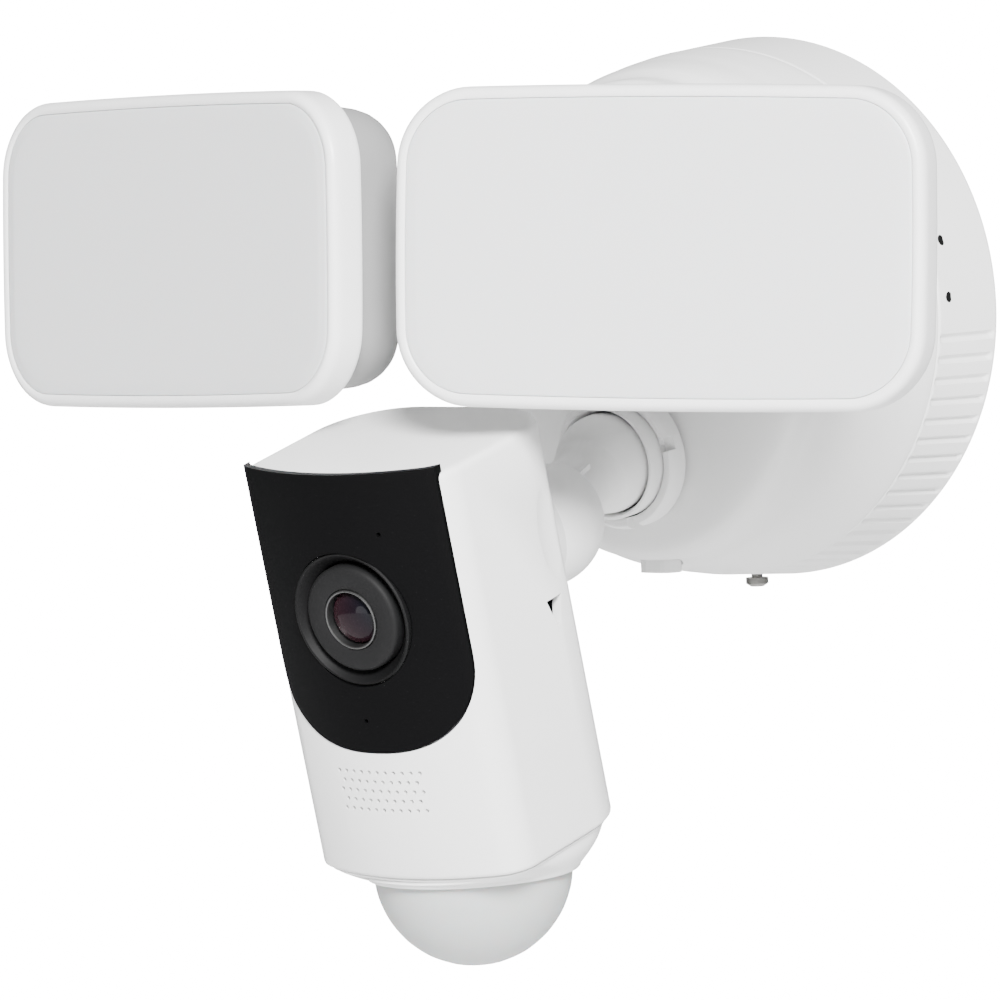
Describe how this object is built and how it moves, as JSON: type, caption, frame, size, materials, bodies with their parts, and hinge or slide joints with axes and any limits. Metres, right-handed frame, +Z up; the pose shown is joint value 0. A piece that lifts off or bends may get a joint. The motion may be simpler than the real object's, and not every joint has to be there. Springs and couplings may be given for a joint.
{
  "type": "floodlight security camera",
  "caption": "Wall-mounted floodlight camera: round twist-lock base, splayed lamps on jointed arms and a pan-tilt camera head with a motion sensor dome.",
  "frame": {"origin": "centre of the base's wall face, on the wall plane", "axes": "+X to the viewer's right as the object is faced, -Y out of the wall towards the viewer, +Z up"},
  "size_m": [0.2808, 0.1908, 0.2217],
  "materials": {
    "white_housing": "fine satin moulded plastic, warm white",
    "lamp_frame_white": "satin white moulded frame",
    "opal_diffuser": "opal diffusing sheet, satin front",
    "black_panel": "glossy black",
    "black_plastic": "matt black",
    "lens_glass": "dark coated lens",
    "steel": "plain zinc plated",
    "aluminium": "satin",
    "grey_rubber": "soft dark grey seal",
    "circuit_board": "green solder mask",
    "led_board": "white solder mask",
    "milky_sensor_dome": "milky moulded lens dome",
    "green_screw": "green earth screw",
    "cream_plastic": "cream connector block"
  },
  "bodies": {
    "base": {"base_shell": "white_housing", "wall_gasket": "grey_rubber", "wall_bracket": "steel", "rear_cover": "white_housing", "mount_screw_left": "steel", "mount_screw_right": "steel", "ground_screw": "green_screw", "cable_gland": "grey_rubber", "driver_board": "circuit_board", "terminal_block": "cream_plastic", "transformer": "black_plastic", "capacitor": "aluminium", "reset_switch": "black_plastic", "lamp_arm_right": "white_housing", "lamp_arm_left": "white_housing", "lamp_pan_pin_right": "steel", "lamp_pan_pin_left": "steel"},
    "lock_ring_body": {"lock_ring": "white_housing", "lock_screw": "steel"},
    "arm_nut_body": {"arm_nut": "white_housing"},
    "camera_arm_body": {"camera_arm": "white_housing", "tilt_pin": "steel"},
    "camera_head": {"camera_shell": "white_housing", "front_panel": "black_panel", "lens_bezel": "black_plastic", "lens_plate": "black_plastic", "lens_ring": "aluminium", "lens_glass": "lens_glass", "lens_barrel": "black_plastic", "image_sensor_board": "circuit_board", "main_board": "circuit_board", "heat_spreader": "aluminium", "speaker": "black_plastic", "microphone_upper": "grey_rubber", "microphone_lower": "grey_rubber", "sensor_skirt": "white_housing", "sensor_dome": "milky_sensor_dome", "sensor_board": "circuit_board", "camera_fork": "white_housing"},
    "reset_button_body": {"reset_button": "white_housing"},
    "lamp_knuckle_right_body": {"lamp_knuckle_right": "white_housing", "lamp_tilt_pin_right": "steel"},
    "lamp_right": {"lamp_frame_right": "lamp_frame_white", "lamp_diffuser_right": "opal_diffuser", "lamp_gasket_right": "grey_rubber", "led_board_right": "led_board", "lamp_housing_right": "white_housing"},
    "lamp_knuckle_left_body": {"lamp_knuckle_left": "white_housing", "lamp_tilt_pin_left": "steel"},
    "lamp_left": {"lamp_frame_left": "lamp_frame_white", "lamp_diffuser_left": "opal_diffuser", "lamp_gasket_left": "grey_rubber", "led_board_left": "led_board", "lamp_housing_left": "white_housing"}
  },
  "joints": [
    {"name": "lock_ring_turn", "type": "hinge", "parent": "base", "child": "lock_ring_body", "pos_m": [0, -0.012, 0], "axis": [0, -1, 0], "range_deg": [0, 12.6]},
    {"name": "arm_nut_turn", "type": "hinge", "parent": "base", "child": "arm_nut_body", "pos_m": [0, -0.076, -0.0345], "axis": [0, -0.9945, -0.1045], "range_deg": [0, 45]},
    {"name": "camera_pan", "type": "hinge", "parent": "base", "child": "camera_arm_body", "pos_m": [0, -0.076, -0.0345], "axis": [0, 0, 1], "range_deg": [-25, 25]},
    {"name": "camera_tilt", "type": "hinge", "parent": "camera_arm_body", "child": "camera_head", "pos_m": [0, -0.1056, -0.047], "axis": [1, 0, 0], "range_deg": [-6, 40]},
    {"name": "reset_press", "type": "slide", "parent": "base", "child": "reset_button_body", "axis": [0, 0, 1], "range_m": [0, 0.0008], "stiffness_N_per_m": 600, "springref_m": -0.0005},
    {"name": "lamp_pan_right", "type": "hinge", "parent": "base", "child": "lamp_knuckle_right_body", "pos_m": [0.0632, -0.10565, 0.02137], "axis": [0, 0, 1], "range_deg": [-8, 30]},
    {"name": "lamp_tilt_right", "type": "hinge", "parent": "lamp_knuckle_right_body", "child": "lamp_right", "pos_m": [0.06644, -0.11927, 0.02137], "axis": [0.9725, 0.2317, -0.0244], "range_deg": [-35, 6]},
    {"name": "lamp_pan_left", "type": "hinge", "parent": "base", "child": "lamp_knuckle_left_body", "pos_m": [-0.0632, -0.10565, 0.02137], "axis": [0, 0, 1], "range_deg": [-30, 8]},
    {"name": "lamp_tilt_left", "type": "hinge", "parent": "lamp_knuckle_left_body", "child": "lamp_left", "pos_m": [-0.06644, -0.11927, 0.02137], "axis": [0.9725, -0.2317, 0.0244], "range_deg": [-35, 6]}
  ]
}
